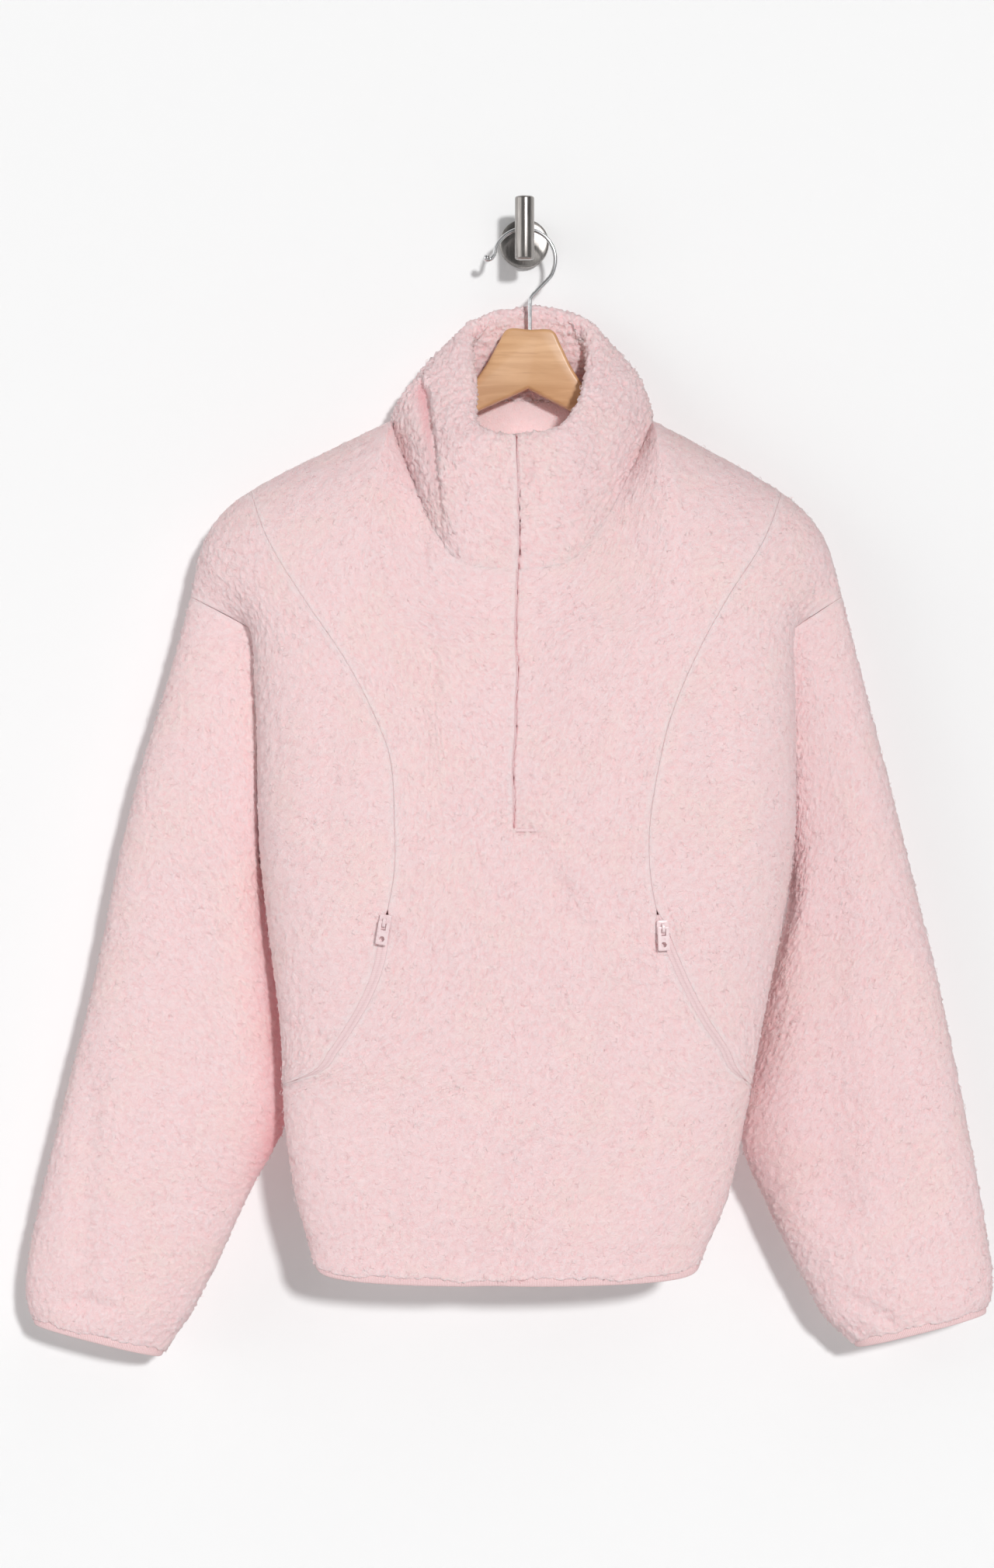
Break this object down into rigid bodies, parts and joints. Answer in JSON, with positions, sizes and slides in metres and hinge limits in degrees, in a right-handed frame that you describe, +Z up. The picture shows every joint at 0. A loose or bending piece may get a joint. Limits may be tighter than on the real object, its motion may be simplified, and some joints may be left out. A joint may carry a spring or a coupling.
{
  "type": "sherpa fleece half-zip pullover on a hanger and wall hook",
  "caption": "Hollow fleece pullover with a stand-up collar, half zip and slanted zip pockets, hung on a wooden hanger from a wall peg.",
  "frame": {"origin": "centre of the wall rose's back face, which lies on the wall", "axes": "+Z up, +Y into the wall, +X to the right for a viewer who faces the garment"},
  "size_m": [0.7001, 0.1338, 0.8415],
  "materials": {
    "fleece": "matted curly sherpa pile, pale pink",
    "binding": "smooth knitted elastic binding",
    "tape": "woven zip tape",
    "pull": "satin enamel, pale pink",
    "wood": "clear satin lacquer",
    "wire": "polished",
    "steel": "brushed"
  },
  "bodies": {
    "pullover": {"front_centre": "fleece", "side_front_left": "fleece", "side_front_right": "fleece", "back": "fleece", "sleeve_left": "fleece", "cuff_binding_left": "binding", "sleeve_right": "fleece", "cuff_binding_right": "binding", "collar": "fleece", "hem_binding": "binding", "front_zip": "tape", "pocket_zip_left": "tape", "pocket_zip_right": "tape", "slider_left": "pull", "slider_right": "pull", "hanger_wood": "wood", "hanger_hook": "wire", "wall_rose": "steel", "wall_peg": "steel"},
    "tab_left": {"pull_tab_left": "pull"},
    "tab_right": {"pull_tab_right": "pull"}
  },
  "joints": [
    {"name": "tab_left_hinge", "type": "hinge", "parent": "pullover", "child": "tab_left", "pos_m": [-0.0993, -0.13161, -0.49412], "axis": [-0.9784, 0.1332, 0.1579], "range_deg": [0, 150]},
    {"name": "tab_right_hinge", "type": "hinge", "parent": "pullover", "child": "tab_right", "pos_m": [0.09727, -0.13016, -0.49815], "axis": [-0.9886, -0.1454, -0.0396], "range_deg": [0, 150]}
  ]
}
